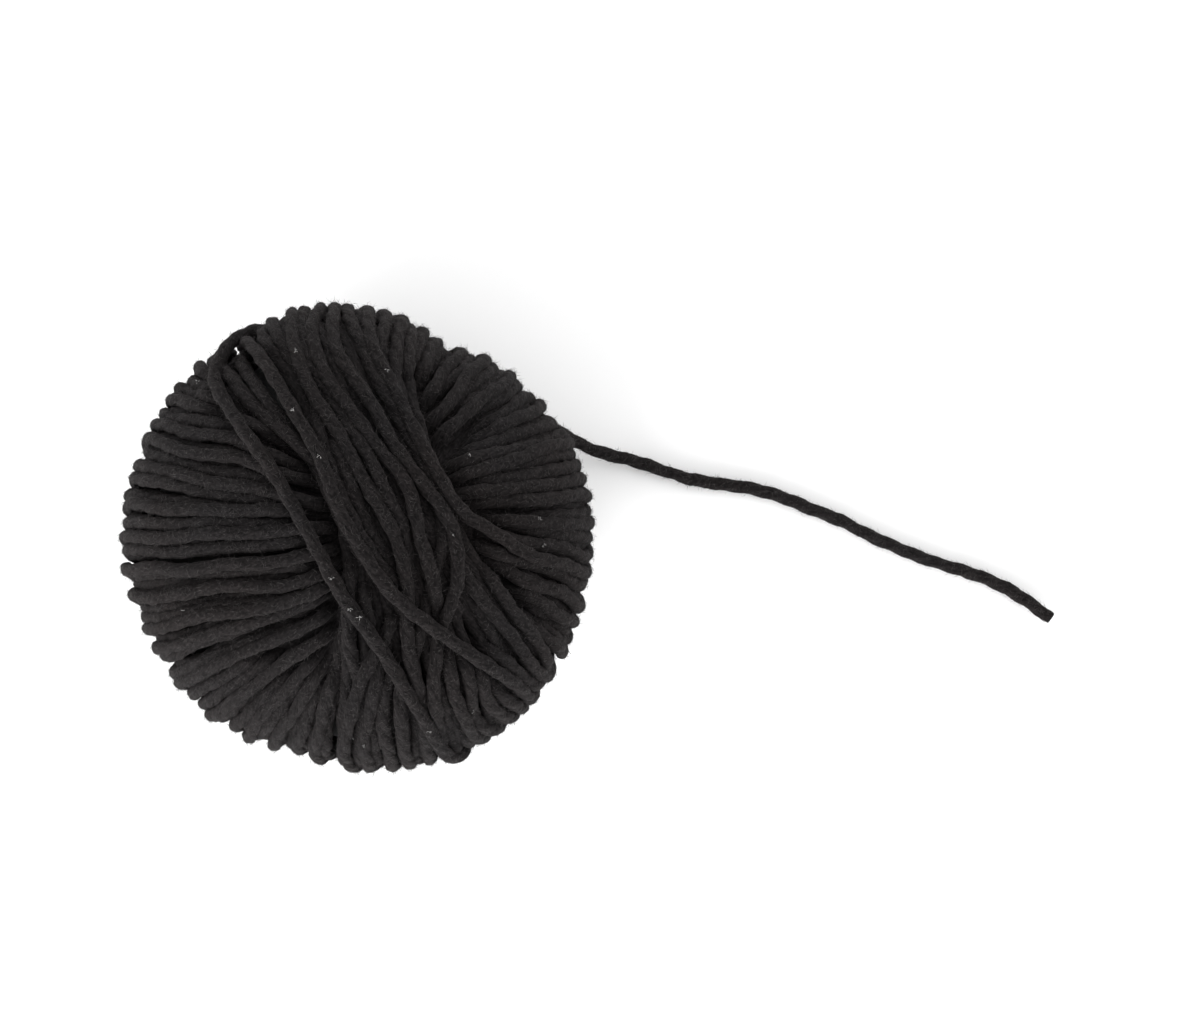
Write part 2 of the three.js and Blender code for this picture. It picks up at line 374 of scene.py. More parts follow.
# Light: the sky's strength at the horizon and high up, and the sine of the height where it stops
# changing. Lamps are placed in metres.
HORIZON = 4.0
OVERHEAD = 0.70
TURNING = 0.62
Lamp = namedtuple("Lamp", "name place size power")
LAMPS = (
    Lamp("low_key", (-0.45, -0.64, 0.29), 0.6, 9.8),
    Lamp("fill", (0.6, 0.5, 0.9), 0.8, 3.0),
)


def camera():
    """The photograph's camera, looking straight down."""
    data = bpy.data.cameras.new("camera")
    data.sensor_width = SENSOR_WIDTH
    data.lens = SENSOR_WIDTH * CAMERA_FOCAL_PX / PHOTO_WIDTH_PX
    data.clip_start, data.clip_end = (distance * MM for distance in CAMERA_REACH)
    placed = bpy.data.objects.new("camera", data)
    placed.location = [value * MM for value in CAMERA_PLACE]
    bpy.context.collection.objects.link(placed)
    bpy.context.scene.camera = placed


def unit(vectors):
    """Each row as a unit vector."""
    return vectors / np.maximum(np.linalg.norm(vectors, axis=-1, keepdims=True), 1e-9)


def smooth_step(value, low, high):
    """0 up to the low value, 1 from the high one, and an eased slope between."""
    share = np.clip((value - low) / (high - low), 0, 1)
    return share * share * (3 - 2 * share)


def spline(points, step, closed=False):
    """Evenly spaced points along a centripetal Catmull-Rom curve."""
    points = np.asarray(points, float)
    if closed:
        rows = np.vstack([points[-1:], points, points[:2]])
    else:
        rows = np.vstack([2 * points[0] - points[1], points, 2 * points[-1] - points[-2]])
    fine = []
    share = np.linspace(0, 1, SPAN_SAMPLES, endpoint=False)[:, None]
    for before, start, end, after in zip(rows, rows[1:], rows[2:], rows[3:]):
        spans = ((before, start), (start, end), (end, after))
        gap_a, gap_b, gap_c = (max(np.linalg.norm(q - p), 1e-6) ** 0.5 for p, q in spans)
        leave = gap_b * ((start - before) / gap_a - (end - before) / (gap_a + gap_b)) + (end - start)
        arrive = gap_b * ((after - end) / gap_c - (after - start) / (gap_b + gap_c)) + (end - start)
        bend = 2 * (start - end) + leave + arrive
        lean = 3 * (end - start) - 2 * leave - arrive
        fine.append(((bend * share + lean) * share + leave) * share + start)
    fine = np.vstack(fine + [rows[-2:-1]])
    along = np.r_[0, np.cumsum(np.linalg.norm(np.diff(fine, axis=0), axis=1))]
    count = max(FEWEST_POINTS, round(along[-1] / step))
    wanted = np.linspace(0, along[-1], count + (not closed), endpoint=not closed)
    return np.column_stack([np.interp(wanted, along, fine[:, axis]) for axis in range(3)])


def waist_radius(bearing):
    """The ball's radius at its waist in a direction, in radians."""
    swell = sum(w.rise * np.cos(w.waves * bearing - math.radians(w.crest)) for w in OUTLINE_WAVES)
    radius = BALL_RADIUS * (1 + swell)
    for hollow in HOLLOWS:
        aside = np.degrees(np.arccos(np.cos(bearing - math.radians(hollow.bearing)))) / hollow.half_width
        radius = radius - hollow.depth * np.exp(-(aside**2))
    return radius


def on_top(x, y):
    """The point of the smooth ball over a point of the plan."""
    share = min(EDGE_SHARE, math.hypot(x, y) / float(waist_radius(math.atan2(y, x))))
    return np.array([x, y, WAIST_HEIGHT + CROWN_RISE * math.sqrt(1 - share * share)])


def seen_at(x, y):
    """The point of the smooth ball that the camera sees through a point of the plan at the seen level."""
    eye_x, eye_y, eye_z = CAMERA_PLACE
    spot = on_top(x, y)
    for _ in range(SIGHT_ROUNDS):
        share = (eye_z - spot[2]) / (eye_z - SEEN_LEVEL)
        met = on_top(eye_x + (x - eye_x) * share, eye_y + (y - eye_y) * share)
        spot = (spot + met) / 2
    return on_top(spot[0], spot[1])


def on_side(degrees, elevation):
    """The point of the smooth ball at a bearing and an angle above the waist, in degrees."""
    rise = CROWN_RISE if elevation > 0 else BASE_DROP
    bearing, tilt = math.radians(degrees), math.radians(elevation)
    hub = UPPER_HUB if elevation > 0 else LOWER_HUB
    inward = 1 - math.cos(tilt)
    reach = float(waist_radius(bearing)) * math.cos(tilt)
    x = reach * math.cos(bearing) + hub[0] * inward
    y = reach * math.sin(bearing) + hub[1] * inward
    return np.array([x, y, WAIST_HEIGHT + rise * math.sin(tilt)])


def drape(points):
    """Points moved straight out from, or in to, the ball's middle until they lie on the smooth ball."""
    from_middle = points - np.array([0, 0, WAIST_HEIGHT])
    radius = waist_radius(np.arctan2(points[:, 1], points[:, 0]))
    rise = np.where(from_middle[:, 2] > 0, CROWN_RISE, BASE_DROP)
    shares = from_middle / np.column_stack([radius, radius, rise])
    draped = from_middle / np.linalg.norm(shares, axis=1)[:, None]
    below = np.maximum(-draped[:, 2], 1e-6)
    scale = np.where(draped[:, 2] < 0, np.minimum(1, (WAIST_HEIGHT - RESTING_LEVEL) / below), 1)
    return draped * scale[:, None] + np.array([0, 0, WAIST_HEIGHT])


def outward(points):
    """The outward directions of the smooth ball at its own points."""
    up = points[:, 2] - WAIST_HEIGHT
    rise = np.where(up > 0, CROWN_RISE, BASE_DROP)
    slope = np.column_stack([points[:, 0] / BALL_RADIUS**2, points[:, 1] / BALL_RADIUS**2, up / rise**2])
    resting = smooth_step(points[:, 2], RESTING_LEVEL, RESTING_LEVEL + RESTING_BLEND)[:, None]
    return unit(unit(slope) * resting + np.array([0, 0, -1.0]) * (1 - resting))


def blurred(values, reach, closed):
    """Values smoothed along a strand by a bell-shaped weight that reaches so many samples."""
    offsets = np.arange(-reach, reach + 1)
    weights = np.cos(offsets / (reach + 1) * math.pi / 2) ** 2
    padded = np.pad(values, reach, mode="wrap" if closed else "edge")
    return sum(weight * padded[i : i + len(values)] for i, weight in enumerate(weights / weights.sum()))


def lowered(values, reach, closed):
    """The lowest value within so many samples along a strand."""
    padded = np.pad(values, reach, mode="wrap" if closed else "edge")
    return np.min([padded[i : i + len(values)] for i in range(2 * reach + 1)], axis=0)


def wander(count, waves, rng):
    """Smooth noise of about unit size along a strand, of up to so many waves over its length."""
    total = np.zeros(count)
    along = np.arange(count) / count * 2 * math.pi
    for wave in range(1, waves + 1):
        total += rng.normal() * np.cos(wave * along + rng.uniform(0, 2 * math.pi))
    return total / math.sqrt(max(1, waves) / 2)


def wobbled(points, step, rng):
    """A closed line on the ball, shifted a little from side to side."""
    ahead = unit(np.roll(points, -1, 0) - np.roll(points, 1, 0))
    aside = np.cross(ahead, outward(points))
    waves = max(2, int(len(points) * step / WOBBLE_LENGTH))
    return points + aside * (WOBBLE * wander(len(points), waves, rng))[:, None]


class Strand:
    """One turn: its points on the smooth ball, the outward directions there and its heights over them."""

    def __init__(self, points, rise, closed=True):
        self.closed = closed
        self.base = drape(points)
        self.normal = outward(self.base)
        self.height = np.full(len(points), BODY_HEIGHT) + rise

    def settle(self, placed, step):
        """Sinks the turn under the ones already placed, which lie outside it."""
        ceiling = self.height.copy()
        if placed:
            others = np.vstack([other.base for other in placed])
            heights = np.concatenate([other.height for other in placed])
            squares = (self.base**2).sum(1)[:, None] + (others**2).sum(1)[None, :]
            gaps = (squares - 2 * self.base @ others.T) / CONTACT_WIDTH**2
            rows, columns = np.nonzero(gaps < 1)
            drops = CROSSING_DROP * (1 - DEEP_SQUASH * np.clip(heights[columns] / DEEPEST, 0, 1))
            limits = heights[columns] - drops * np.sqrt(1 - np.clip(gaps[rows, columns], 0, 1))
            np.minimum.at(ceiling, rows, limits)
        reach = max(1, round(PRESSED_REACH / step))
        eased = blurred(lowered(ceiling, reach, self.closed), reach + 1, self.closed)
        self.height = np.maximum(blurred(eased, reach, self.closed), DEEPEST)

    def centres(self):
        return self.base + self.normal * self.height[:, None]


def underside(end, start, rng):
    """Points under the ball from the bearing where a turn goes down to the one where it comes up."""
    jitter = rng.normal(0, HUB_JITTER, 2)
    middle = np.array([LOWER_HUB[0] + jitter[0], LOWER_HUB[1] + jitter[1], RESTING_LEVEL])
    return [
        on_side(end + UNDERSIDE_LEAN, UNDERSIDE_ELEVATION),
        middle,
        on_side(start + UNDERSIDE_LEAN, UNDERSIDE_ELEVATION),
    ]


def around_ball(points, step, rng):
    """A closed line on the smooth ball through points, not quite straight."""
    return wobbled(drape(spline(points, step, closed=True)), step, rng)


def upper_share(points):
    """How far up the ball points are: 0 at the waist, 1 well above it."""
    return smooth_step(points[:, 2] - WAIST_HEIGHT, *RAISED_ABOVE_WAIST)


def late_turn(row, step, rng):
    """A turn of the table, raised over the top by its rise."""
    over = [on_side(row.start, 0), *(seen_at(x, y) for x, y in row.via), on_side(row.end, 0)]
    route = around_ball(over + underside(row.end, row.start, rng), step, rng)
    return Strand(route, row.rise * upper_share(route))


def top_turn(step, rng):
    """The topmost turn, which is open: its one end is where the loose end leaves the ball."""
    over = np.array([seen_at(x, y) for x, y in TOP_TURN_VIA])
    over = over + outward(over) * (BODY_HEIGHT + TOP_TURN_RISE)
    down = np.array([on_side(TOP_TURN_END, 0), *underside(TOP_TURN_END, TOP_TURN_END + 180, rng)])
    down[-1] = (down[-2] + down[-1]) / 2
    route = spline(np.vstack([TOP_TURN_SIDE, TOP_TURN_LOOP, over, down]), step)
    turn = Strand(route, 0, closed=False)
    turn.height = ((route - turn.base) * turn.normal).sum(1)
    turn.base = route - turn.normal * turn.height[:, None]
    sunk = smooth_step(np.arange(len(route)), len(route) - SUNK_LENGTH / step, len(route))
    turn.height = turn.height - sunk * SUNK_DEPTH
    return turn


def knot_at(knots, bearing):
    """Where a turn of that bearing meets the later turns, between the knots."""
    bearings = [knot.bearing for knot in knots]
    return [np.interp(bearing, bearings, [knot[axis] for knot in knots]) for axis in (1, 2)]


def fan_turn(left, right, rise, step, rng):
    """A turn that fans out over both sides, from one bearing to the other."""
    left_in = np.array(knot_at(LEFT_FAN, left)) + rng.normal(0, KNOT_JITTER, 2)
    right_in = np.array(knot_at(RIGHT_FAN, right)) + rng.normal(0, KNOT_JITTER, 2)
    left_side, right_side = on_side(left, 0), on_side(right, 0)
    left_mid = left_in + (left_side[:2] - left_in) * FAN_MIDWAY
    right_mid = right_in + (right_side[:2] - right_in) * FAN_MIDWAY
    over = [on_top(*left_mid), seen_at(*left_in), seen_at(*right_in), on_top(*right_mid)]
    points = [left_side, *over, right_side, *underside(right, left, rng)]
    return Strand(around_ball(points, step, rng), rise)


def fan_bearings(count, rng):
    """Evenly spread pairs of bearings for the fans, a little uneven."""
    share = (np.arange(count) + 0.5) / count
    left = np.interp(share, (0, 1), (LEFT_FAN[0].bearing, LEFT_FAN[-1].bearing))
    right = np.interp(share, (0, 1), (RIGHT_FAN[0].bearing, RIGHT_FAN[-1].bearing))
    return left + rng.normal(0, BEARING_JITTER, count), right + rng.normal(0, BEARING_JITTER, count)


def band_turns(count, rise, step, rng):
    """Turns between and under the last ones, from one side of them to the other."""
    made = []
    for share in np.linspace(0, 1, count):
        start = np.interp(share, (0, 1), BAND_STARTS) + rng.normal(0, BAND_JITTER)
        end = np.interp(share, (0, 1), BAND_ENDS) + rng.normal(0, BAND_JITTER)
        x, y = (np.interp(share, (0, 1), ends) for ends in zip(*BAND_MIDDLES))
        points = [on_side(start, 0), on_top(x, y), on_side(end, 0), *underside(end, start, rng)]
        made.append(Strand(around_ball(points, step, rng), rise))
    return made


def wind(rng):
    """Every turn that shows, outermost first."""
    turns = [top_turn(TURN_STEP, rng)]
    later = [late_turn(row, TURN_STEP, rng) for row in LATE_TURNS]
    later += band_turns(BAND_TURNS, BAND_RISE, TURN_STEP, rng)
    left, right = fan_bearings(FAN_TURNS, rng)
    for index in rng.permutation(FAN_TURNS):
        later.append(fan_turn(left[index], right[index], rng.uniform(*FAN_RISE), TURN_STEP, rng))
    for turn in later:
        turn.settle(turns, TURN_STEP)
        turns.append(turn)
    return turns


def fillers(turns, rng):
    """The earlier turns, which show through the gaps between the last ones."""
    rises = FILLER_RISE + rng.normal(0, FILLER_SPREAD, FILLERS)
    fans = zip(*fan_bearings(FILLERS, rng), rises)
    made = [fan_turn(left, right, rise, FILLER_STEP, rng) for left, right, rise in fans]
    made += [fan_turn(left, right, DEEP_FILLER_RISE, FILLER_STEP, rng) for left, right in DEEP_FILLERS]
    for turn in made:
        turn.settle(turns, FILLER_STEP)
    return made + band_turns(BAND_FILLERS, FILLER_RISE, FILLER_STEP, rng)


def rings(centres, normals, closed, width, thickness, sides, step, phase, rng):
    """Rings of points around a strand, from its inner side: an uneven oval with plies that turn along it."""
    count = len(centres)
    ahead = np.roll(centres, -1, 0) - np.roll(centres, 1, 0)
    if not closed:
        ahead[0], ahead[-1] = centres[1] - centres[0], centres[-1] - centres[-2]
    ahead = unit(ahead)
    across = unit(np.cross(ahead, normals))
    up = np.cross(across, ahead)
    angle = 2 * math.pi * np.arange(sides) / sides - math.pi / 2
    length = count * step
    twist = 2 * math.pi * (lays(length, closed) * np.arange(count) / count + phase) - math.pi / 2
    lobes = 1 + PLY_DEPTH * np.cos(PLIES * (angle[None, :] - twist[:, None]))
    swell = 1 + SWELL * wander(count, int(length / SWELL_LENGTH), rng)
    size = (lobes * swell[:, None] + rng.normal(0, ROUGHNESS, lobes.shape)) / 2
    sideways = (width * size * np.cos(angle))[:, :, None] * across[:, None, :]
    upwards = (thickness * size * np.sin(angle))[:, :, None] * up[:, None, :]
    made = centres[:, None, :] + sideways + upwards
    made[:, :, 2] = np.maximum(made[:, :, 2], LOWEST)
    return made


def tube_faces(count, sides, closed, first):
    """Quads between rings, as vertex numbers, and each corner's ring number and share of the way around."""
    rows = np.arange(count if closed else count - 1)
    row, side = (grid.ravel() for grid in np.meshgrid(rows, np.arange(sides), indexing="ij"))
    next_row, next_side = (row + 1) % count, (side + 1) % sides
    quads = first + np.column_stack(
        [row * sides + side, next_row * sides + side, next_row * sides + next_side, row * sides + next_side]
    )
    along = np.column_stack([row, row + 1, row + 1, row])
    around = np.column_stack([side, side, side + 1, side + 1]) / sides
    return quads, along, around


def lay_map(along, around, length, closed, phase):
    """A map of a strand: millimetres along it, and turns around it from a line that twists with the plies."""
    twist = lays(length, closed) * along / length + phase
    return np.stack([along, around - twist], axis=-1)


def lays(length, closed):
    """How often the plies go round in a length. It is a whole number where the strand closes on itself."""
    return max(1, round(length / PLY_PITCH)) if closed else length / PLY_PITCH


def mesh_object(name, vertices, loops, counts, material, maps=()):
    """A mesh object from arrays: vertices in millimetres, corner vertex numbers and corners a face."""
    data = bpy.data.meshes.new(name)
    data.vertices.add(len(vertices))
    data.vertices.foreach_set("co", (np.asarray(vertices) * MM).astype(np.float32).ravel())
    data.loops.add(len(loops))
    data.loops.foreach_set("vertex_index", np.asarray(loops, np.int32))
    data.polygons.add(len(counts))
    data.polygons.foreach_set("loop_start", np.r_[0, np.cumsum(counts)[:-1]].astype(np.int32))
    data.update(calc_edges=True)
    data.polygons.foreach_set("use_smooth", np.ones(len(counts), bool))
    for map_name, places in maps:
        data.uv_layers.new(name=map_name).data.foreach_set("uv", places.astype(np.float32).ravel())
    data.materials.append(material)
    made = bpy.data.objects.new(name, data)
    bpy.context.collection.objects.link(made)
    return made


def turns_object(name, turns, step, sides, material, rng):
    """Some turns as one mesh, each in its own strip of the bake map. Low down it has every other ring."""
    vertices, quads, strips, lay_maps, first = [], [], [], [], 0
    for index, turn in enumerate(turns):
        centres = turn.centres()
        phase = int(rng.integers(LAY_STARTS)) + rng.uniform()
        made = rings(centres, turn.normal, turn.closed, TURN_WIDTH, TURN_THICKNESS, sides, step, phase, rng)
        kept = np.flatnonzero((centres[:, 2] > COARSE_BELOW) | (np.arange(len(centres)) % 2 == 0))
        turn.rings, turn.ring_centres = made[kept], centres[kept]
        faces, row, around = tube_faces(len(kept), sides, turn.closed, first)
        along = np.append(kept, len(centres))[row]
        vertices.append(turn.rings.reshape(-1, 3))
        quads.append(faces)
        beside = STRIP_MARGIN + (1 - 2 * STRIP_MARGIN) * around
        strips.append(np.stack([along / len(centres), (index + beside) / len(turns)], axis=-1))
        lay_maps.append(lay_map(along * step, around, len(centres) * step, turn.closed, phase))
        first += len(kept) * sides
    loops = np.vstack(quads).ravel()
    counts = np.full(len(loops) // 4, 4)
    maps = ((BAKE_MAP, np.vstack(strips)), (LAY_MAP, np.vstack(lay_maps)))
    return mesh_object(name, np.vstack(vertices), loops, counts, material, maps)


def core_object(material):
    """A closed dark form inside the turns, so that nothing shows through them. Its colour, darker than the
    thread, is painted shade in the gaps.
    """
    bearing, tilt = np.meshgrid(
        2 * math.pi * np.arange(CORE_COLUMNS) / CORE_COLUMNS,
        math.pi * (np.arange(1, CORE_ROWS) / CORE_ROWS - 0.5),
    )
    bearing, tilt = bearing.ravel(), tilt.ravel()
    level = np.cos(tilt)
    directions = np.column_stack([level * np.cos(bearing), level * np.sin(bearing), np.sin(tilt)])
    points = drape(directions + np.array([0, 0, WAIST_HEIGHT]))
    points = points - outward(points) * CORE_DEPTH
    south_pole = [0, 0, RESTING_LEVEL + CORE_DEPTH]
    north_pole = [0, 0, WAIST_HEIGHT + CROWN_RISE - CORE_DEPTH]
    south, north = len(points), len(points) + 1
    ring = np.arange(CORE_COLUMNS)
    after = (ring + 1) % CORE_COLUMNS
    lower = (np.arange(CORE_ROWS - 2) * CORE_COLUMNS)[:, None]
    upper = lower + CORE_COLUMNS
    quads = np.stack([lower + ring, lower + after, upper + after, upper + ring], axis=-1).reshape(-1, 4)
    top = upper[-1]
    bottom_cap = np.column_stack([np.full(CORE_COLUMNS, south), after, ring])
    top_cap = np.column_stack([np.full(CORE_COLUMNS, north), top + ring, top + after])
    loops = np.concatenate([quads.ravel(), bottom_cap.ravel(), top_cap.ravel()])
    counts = np.repeat([4, 3], [len(quads), 2 * CORE_COLUMNS])
    return mesh_object("wound_core", np.vstack([points, south_pole, north_pole]), loops, counts, material)


def loose_end(material, rng):
    """The loose end as one closed tube with a blunt cut end, the line that it follows and its rings."""
    route = spline(LOOSE_ROUTE, LOOSE_STEP)
    normals = np.tile([0, 0, 1.0], (len(route), 1))
    made = rings(route, normals, False, THREAD_DIAMETER, THREAD_DIAMETER, LOOSE_SIDES, LOOSE_STEP, 0.0, rng)
    ahead = unit(route[-1] - route[-3])
    tip = route[-1] + (made[-1] - route[-1]) * CUT_NARROWING + ahead * CUT_LENGTH
    made = np.concatenate([made, tip[None]])
    quads, along, around = tube_faces(len(made), LOOSE_SIDES, False, 0)
    beside = LOOSE_STRIP_START + LOOSE_STRIP_WIDTH * around
    strip = np.stack([along / len(made), beside], axis=-1).reshape(-1, 2)
    lay = lay_map(along * LOOSE_STEP, around, len(route) * LOOSE_STEP, False, 0.0).reshape(-1, 2)
    ring = np.arange(LOOSE_SIDES)
    end_cap = (len(made) - 1) * LOOSE_SIDES + ring[::-1]
    angle = 2 * math.pi * ring / LOOSE_SIDES
    disc = np.column_stack([np.cos(angle), np.sin(angle)])
    discs = (disc, disc[::-1])
    strip = np.vstack([strip, *(CAP_RADIUS * way + place for way, place in zip(discs, CAP_PLACES))])
    lay = np.vstack([lay, *(way / 2 for way in discs)])
    loops = np.concatenate([quads.ravel(), ring, end_cap])
    counts = np.append(np.full(len(quads), 4), [LOOSE_SIDES, LOOSE_SIDES])
    maps = ((BAKE_MAP, strip), (LAY_MAP, lay))
    piece = mesh_object("loose_thread", made.reshape(-1, 3), loops, counts, material, maps)
    return piece, route, made


def triangle_around(middles, directions, radius, rng):
    """Three points around each middle, square to its direction, and a way to one side."""
    aside = unit(np.cross(directions, rng.normal(size=(len(middles), 3))))
    other = np.cross(directions, aside)
    angles = 2 * math.pi * np.arange(3) / 3
    return [middles + radius * (math.cos(a) * aside + math.sin(a) * other) for a in angles], aside


def spikes(fibres, radius, rng):
    """Straight closed fibres: a ring of three at the root and a tip."""
    ring, _ = triangle_around(fibres.roots, fibres.directions, radius, rng)
    tips = fibres.roots + fibres.directions * fibres.lengths[:, None]
    return np.stack([*ring, tips], axis=1), np.array(SPIKE_FACES)


def spindles(fibres, radius, rng):
    """Bent closed fibres: a point at the root, a ring of three at the middle and a tip that turns away."""
    middles = fibres.roots + fibres.directions * (fibres.lengths / 2)[:, None]
    ring, aside = triangle_around(middles, fibres.directions, radius, rng)
    bend = aside * rng.uniform(-FIBRE_BEND, FIBRE_BEND, (len(middles), 1))
    tips = fibres.roots + (fibres.directions + bend) * fibres.lengths[:, None]
    return np.stack([fibres.roots, *ring, tips], axis=1), np.array(SPINDLE_FACES)


def fibres_object(name, parts, material):
    """Fibres as one mesh, each face with a place of its own in the bake map."""
    vertices, faces, first = [], [], 0
    for points, pattern in parts:
        numbers = np.arange(len(points))[:, None, None] * points.shape[1] + first
        faces.append((pattern[None] + numbers).reshape(-1, 3))
        vertices.append(points.reshape(-1, 3))
        first += points.shape[0] * points.shape[1]
    vertices, faces = np.vstack(vertices), np.vstack(faces)
    vertices[:, 2] = np.maximum(vertices[:, 2], LOWEST)
    across = math.ceil(math.sqrt(len(faces)))
    cell = np.column_stack([np.arange(len(faces)) % across, np.arange(len(faces)) // across])
    places = (cell[:, None, :] + np.array(FIBRE_CORNERS)[None]) / across
    counts = np.full(len(faces), 3)
    return mesh_object(name, vertices, faces.ravel(), counts, material, ((BAKE_MAP, places),))


def fibres_on(surface, centres, count, rise, length, rng):
    """Fibres at random places on rings of surface points."""
    rows = rng.integers(1, len(surface) - 2, count)
    sides = rng.integers(0, surface.shape[1], count)
    share = rng.uniform(0, 1, (count, 1))
    roots = surface[rows, sides] * (1 - share) + surface[rows + 1, sides] * share
    out = unit(roots - centres[rows])
    random_way = rng.normal(size=(count, 3))
    flat_way = unit(random_way - out * (random_way * out).sum(1, keepdims=True))
    directions = unit(out * rise * rng.uniform(*RISE_SPREAD, (count, 1)) + flat_way)
    return Fibres(roots - out * ROOT_DEPTH, directions, rng.uniform(*length, count), out)


def ball_fibres(turns, count, rise, length, rng):
    """So many fibres on the outer side of the turns that show."""
    total = sum(len(turn.base) for turn in turns)
    found = []
    for turn in turns:
        tries = int(FUZZ_TRIES * count * len(turn.base) / total)
        found.append(fibres_on(turn.rings, turn.ring_centres, tries, rise, length, rng))
    tried = Fibres(*(np.concatenate(column) for column in zip(*found)))
    draped = drape(tried.roots)
    ball_out = outward(draped)
    facing = (tried.out * ball_out).sum(1) > FUZZ_FACING
    outside = ((tried.roots - draped) * ball_out).sum(1) > FUZZ_DEPTH
    height = tried.roots[:, 2]
    chosen = rng.uniform(0, 1, len(height)) < smooth_step(height, *FUZZ_THICKENS)
    kept = rng.permutation(np.flatnonzero(facing & outside & chosen & (height > FUZZ_LOWEST)))[:count]
    return Fibres(*(column[kept] for column in tried))


def ball_fuzz(turns, material, rng):
    """The fuzz of the ball, as two pieces."""
    lying = spikes(ball_fibres(turns, LYING_FIBRES, LYING_RISE, LYING_LENGTH, rng), FIBRE_RADIUS, rng)
    stray = spindles(ball_fibres(turns, STRAY_FIBRES, STRAY_RISE, STRAY_LENGTH, rng), FIBRE_RADIUS, rng)
    return [fibres_object("ball_nap", [lying], material), fibres_object("ball_fuzz", [stray], material)]


def loose_fuzz(made, route, material, rng):
    """Short fibres along the loose end."""
    centres = np.vstack([route, route[-1:]])
    lying = fibres_on(made, centres, LOOSE_LYING, LYING_RISE, LYING_LENGTH, rng)
    stray = fibres_on(made, centres, LOOSE_STRAY, STRAY_RISE, LYING_LENGTH, rng)
    parts = [spikes(lying, FIBRE_RADIUS, rng), spindles(stray, FIBRE_RADIUS, rng)]
    return fibres_object("loose_fuzz", parts, material)


def lint(turns, material, rng):
    """Small tufts of pale lint, each on the highest thread at its place."""
    points = np.vstack([turn.rings.reshape(-1, 3) for turn in turns])
    places = []
    for x, y in LINT_SPECKS:
        near = points[(abs(points[:, 0] - x) < LINT_REACH) & (abs(points[:, 1] - y) < LINT_REACH)]
        places.append(near[near[:, 2].argmax()])
    roots = np.repeat(places, LINT_FIBRES, axis=0)
    roots = roots + rng.normal(0, LINT_SPREAD, roots.shape)
    out = np.tile([0, 0, 1.0], (len(roots), 1))
    directions = unit(rng.normal(size=roots.shape) + out * LINT_LIFT)
    tufts = Fibres(roots, directions, rng.uniform(*LINT_LENGTH, len(roots)), out)
    return fibres_object("pale_lint", [spindles(tufts, LINT_RADIUS, rng)], material)


def thread_material():
    """Matt black thread: nearly black, streaked and mottled, with soft plies and a fibrous surface."""
    material, nodes, links, shader = new_material("black_thread")
    for name, value in THREAD_FINISH.items():
        shader.inputs[name].default_value = value

    def math_node(operation, *values):
        made = nodes.new("ShaderNodeMath")
        made.operation = operation
        for socket, value in zip(made.inputs, values):
            if isinstance(value, (int, float)):
                socket.default_value = value
            else:
                links.new(value, socket)
        return made.outputs[0]

    lay = nodes.new("ShaderNodeUVMap")
    lay.uv_map = LAY_MAP
    split = nodes.new("ShaderNodeSeparateXYZ")
    links.new(lay.outputs["UV"], split.inputs[0])
    along, around = split.outputs["X"], split.outputs["Y"]
    streak_place = nodes.new("ShaderNodeCombineXYZ")
    links.new(math_node("MULTIPLY", along, 1 / STREAK_LENGTH), streak_place.inputs["X"])
    leaning = math_node("MULTIPLY_ADD", along, STREAK_LEAN, around)
    links.new(math_node("MULTIPLY", leaning, STREAKS_AROUND), streak_place.inputs["Y"])
    streaks = noise(nodes, links, streak_place.outputs[0], 1.0, STREAK_DETAIL)
    place = nodes.new("ShaderNodeTexCoord").outputs["Object"]
    mottling = noise(nodes, links, place, MOTTLE_SCALE, MOTTLE_DETAIL)
    patches = noise(nodes, links, place, PATCH_SCALE, PATCH_DETAIL)

    tone = math_node("MULTIPLY", streaks, mottling)
    hue = nodes.new("ShaderNodeMix")
    hue.data_type = "RGBA"
    sockets = {socket.name: socket for socket in hue.inputs if socket.type == "RGBA"}
    for colours, name in ((COOL_BLACK, "A"), (WARM_BLACK, "B")):
        links.new(ramp(nodes, links, tone, colours, STREAK_SPAN), sockets[name])
    links.new(patches, hue.inputs["Factor"])
    links.new(next(socket for socket in hue.outputs if socket.type == "RGBA"), shader.inputs["Base Color"])

    plies = math_node("ABSOLUTE", math_node("COSINE", math_node("MULTIPLY", around, math.pi * PLIES)))
    height = math_node("MULTIPLY_ADD", math_node("POWER", plies, PLY_BUMP_POWER), PLY_BUMP, tone)
    bump = nodes.new("ShaderNodeBump")
    bump.inputs["Strength"].default_value = BUMP_STRENGTH
    bump.inputs["Distance"].default_value = BUMP_DISTANCE
    links.new(height, bump.inputs["Height"])
    links.new(bump.outputs["Normal"], shader.inputs["Normal"])
    return material


def mottled_material(row):
    """A finely mottled matt material between two colours."""
    material, nodes, links, shader = new_material(row.name)
    shader.inputs["Roughness"].default_value = row.roughness
    place = nodes.new("ShaderNodeTexCoord").outputs["Object"]
    mottling = noise(nodes, links, place, MOTTLE_SCALE, MOTTLE_DETAIL)
    links.new(ramp(nodes, links, mottling, (row.dark, row.light), MOTTLE_SPAN), shader.inputs["Base Color"])
    return material


def new_material(name):
    """A material, its nodes, its links and its shader."""
    material = bpy.data.materials.new(name)
    material.use_nodes = True
    tree = material.node_tree
    return material, tree.nodes, tree.links, tree.nodes["Principled BSDF"]


def noise(nodes, links, place, scale, detail):
    """A noise over a place, as a number."""
    made = nodes.new("ShaderNodeTexNoise")
    made.inputs["Scale"].default_value = scale
    made.inputs["Detail"].default_value = detail
    links.new(place, made.inputs["Vector"])
    return made.outputs["Fac"]


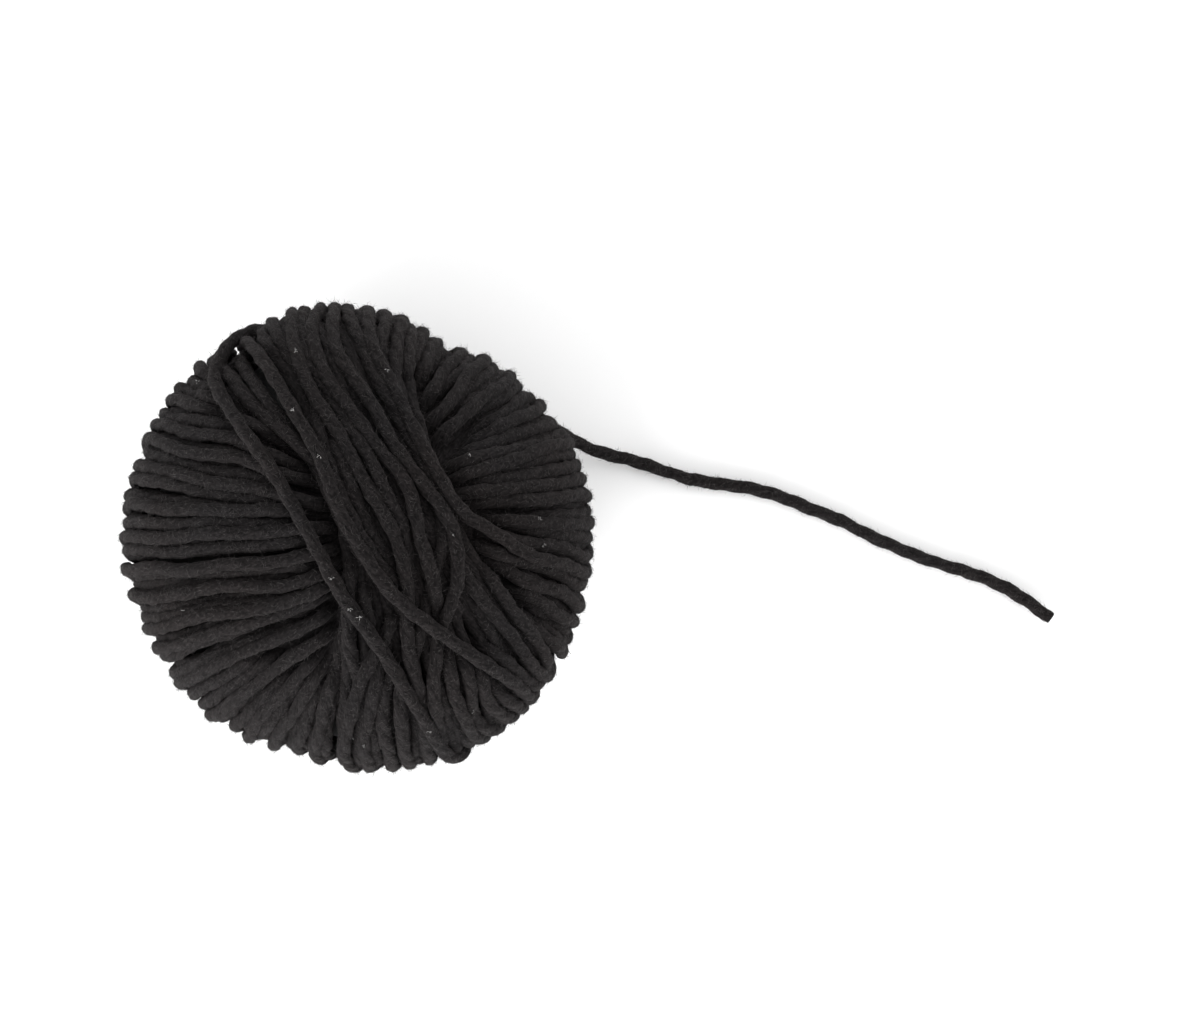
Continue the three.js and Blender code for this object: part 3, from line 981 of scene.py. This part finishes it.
def ramp(nodes, links, tone, colours, span):
    """A colour that goes from the first to the second over a span of tones."""
    made = nodes.new("ShaderNodeValToRGB")
    for element, position, colour in zip(made.color_ramp.elements, span, colours):
        element.position = position
        element.color = (*colour, 1)
    links.new(tone, made.inputs["Fac"])
    return made.outputs["Color"]


def floor():
    """A wide pale floor, just under the part."""
    signs = ((-1, -1), (1, -1), (1, 1), (-1, 1))
    data = bpy.data.meshes.new("floor")
    data.from_pydata([(x * FLOOR_HALF, y * FLOOR_HALF, 0) for x, y in signs], [], [(0, 1, 2, 3)])
    material, _, _, shader = new_material("pale_floor")
    shader.inputs["Base Color"].default_value = (*FLOOR_WHITE, 1)
    shader.inputs["Roughness"].default_value = FLOOR_ROUGHNESS
    data.materials.append(material)
    made = bpy.data.objects.new("floor", data)
    bpy.context.collection.objects.link(made)


def lights():
    """Soft light from all round, stronger from the sides, with a low lamp and a weaker high one."""
    world = bpy.data.worlds.new("studio")
    world.use_nodes = True
    nodes, links = world.node_tree.nodes, world.node_tree.links
    way = nodes.new("ShaderNodeTexCoord")
    split = nodes.new("ShaderNodeSeparateXYZ")
    strength = nodes.new("ShaderNodeMapRange")
    for name, value in (("From Max", TURNING), ("To Min", HORIZON), ("To Max", OVERHEAD)):
        strength.inputs[name].default_value = value
    links.new(way.outputs["Generated"], split.inputs[0])
    links.new(split.outputs["Z"], strength.inputs["Value"])
    nodes["Background"].inputs["Color"].default_value = (1, 1, 1, 1)
    links.new(strength.outputs["Result"], nodes["Background"].inputs["Strength"])
    bpy.context.scene.world = world
    for row in LAMPS:
        data = bpy.data.lights.new(row.name, "AREA")
        data.size = row.size
        data.energy = row.power
        lamp = bpy.data.objects.new(row.name, data)
        lamp.location = row.place
        bpy.context.collection.objects.link(lamp)
        lamp.rotation_mode = "QUATERNION"
        lamp.rotation_quaternion = lamp.location.to_track_quat("Z", "Y")


def main():
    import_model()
    rng = np.random.default_rng(SEED)
    bpy.context.scene.view_settings.view_transform = "Standard"
    camera()
    thread = thread_material()
    # The fuzz material is lighter than the thread, as a painted sheen
    fuzz = mottled_material(FUZZ_PAINTED_SHEEN)

    loose, route, made = loose_end(thread, rng)
    loose_nap = loose_fuzz(made, route, fuzz, rng)
    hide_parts("loose_end")

    turns = wind(rng)
    pieces = [loose, loose_nap]
    for number, first in enumerate(range(0, len(turns), TURNS_A_PIECE), 1):
        group = turns[first : first + TURNS_A_PIECE]
        pieces.append(turns_object(f"wound_turns_{number}", group, TURN_STEP, TURN_SIDES, thread, rng))
    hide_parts("ball")
    inner = fillers(turns, rng)
    pieces.append(turns_object("inner_turns", inner, FILLER_STEP, FILLER_SIDES, thread, rng))
    # The core's darker colour is painted shade in the gaps between the turns
    pieces.append(core_object(mottled_material(CORE_PAINTED_SHADE)))
    pieces += ball_fuzz(turns, fuzz, rng)
    pieces.append(lint(turns, mottled_material(LINT), rng))
    for piece in pieces:
        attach(piece, BODY)
    floor()
    lights()


main()
